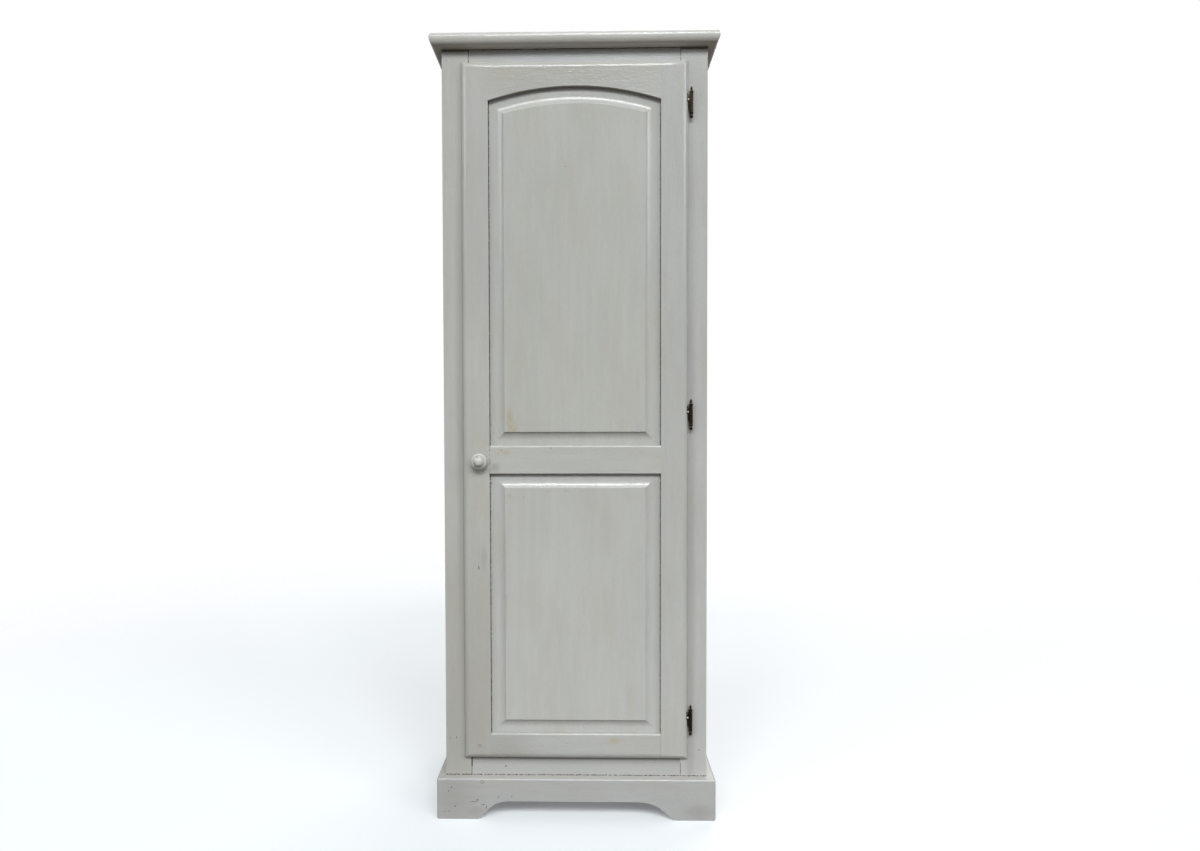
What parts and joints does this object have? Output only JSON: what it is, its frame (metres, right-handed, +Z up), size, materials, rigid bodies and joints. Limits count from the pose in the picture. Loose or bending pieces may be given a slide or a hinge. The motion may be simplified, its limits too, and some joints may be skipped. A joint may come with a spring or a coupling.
{
  "type": "bonnetiere cabinet",
  "caption": "Tall narrow cupboard with an arched raised-panel door hung on finial hinges, a turned knob, inner shelves, a moulded cornice and a shaped plinth.",
  "frame": {"origin": "on the floor, under the middle of the overall box: halfway across the cornice and halfway from the front of the knob to the back", "axes": "+X to the viewer's right, towards the hinges; +Y from the door towards the back; +Z up"},
  "size_m": [0.692, 0.47, 1.9],
  "materials": {
    "grey_paint": "pine brush-painted in satin light warm grey",
    "bare_pine": "planed pine, unpainted",
    "aged_bronze": "dark aged bronze",
    "zinc_steel": "zinc plated",
    "brown_plastic": "moulded, fine grained"
  },
  "bodies": {
    "carcass": {"left_side_panel": "grey_paint", "right_side_panel": "grey_paint", "bottom_board": "bare_pine", "top_board": "bare_pine", "back_panel": "bare_pine", "rear_base_rail": "bare_pine", "left_corner_block": "bare_pine", "right_corner_block": "bare_pine", "top_frame_rail": "grey_paint", "bottom_frame_rail": "grey_paint", "left_frame_stile": "grey_paint", "right_frame_stile": "grey_paint", "cornice_front": "grey_paint", "cornice_left": "grey_paint", "cornice_right": "grey_paint", "cornice_back_rail": "bare_pine", "cornice_top_panel": "bare_pine", "plinth_front": "grey_paint", "plinth_left": "grey_paint", "plinth_right": "grey_paint", "shelf_1": "bare_pine", "shelf_1_left_cleat": "bare_pine", "shelf_1_right_cleat": "bare_pine", "shelf_2": "bare_pine", "shelf_2_left_cleat": "bare_pine", "shelf_2_right_cleat": "bare_pine", "shelf_3": "bare_pine", "shelf_3_left_cleat": "bare_pine", "shelf_3_right_cleat": "bare_pine", "shelf_4": "bare_pine", "shelf_4_left_cleat": "bare_pine", "shelf_4_right_cleat": "bare_pine", "catch_case": "brown_plastic", "catch_magnet": "zinc_steel", "catch_left_screw": "zinc_steel", "catch_right_screw": "zinc_steel", "top_hinge_frame_half": "aged_bronze", "top_hinge_pin": "zinc_steel", "middle_hinge_frame_half": "aged_bronze", "middle_hinge_pin": "zinc_steel", "bottom_hinge_frame_half": "aged_bronze", "bottom_hinge_pin": "zinc_steel"},
    "door": {"door_top_rail": "grey_paint", "door_middle_rail": "grey_paint", "door_bottom_rail": "grey_paint", "door_left_stile": "grey_paint", "door_right_stile": "grey_paint", "upper_door_panel": "grey_paint", "lower_door_panel": "grey_paint", "door_knob": "grey_paint", "knob_screw": "zinc_steel", "catch_strike_plate": "zinc_steel", "strike_screw": "zinc_steel", "top_hinge_door_half": "aged_bronze", "middle_hinge_door_half": "aged_bronze", "bottom_hinge_door_half": "aged_bronze"}
  },
  "joints": [
    {"name": "door_hinge", "type": "hinge", "parent": "carcass", "child": "door", "pos_m": [0.28, -0.197, 0.98925], "axis": [0, 0, 1], "range_deg": [0, 170]}
  ]
}
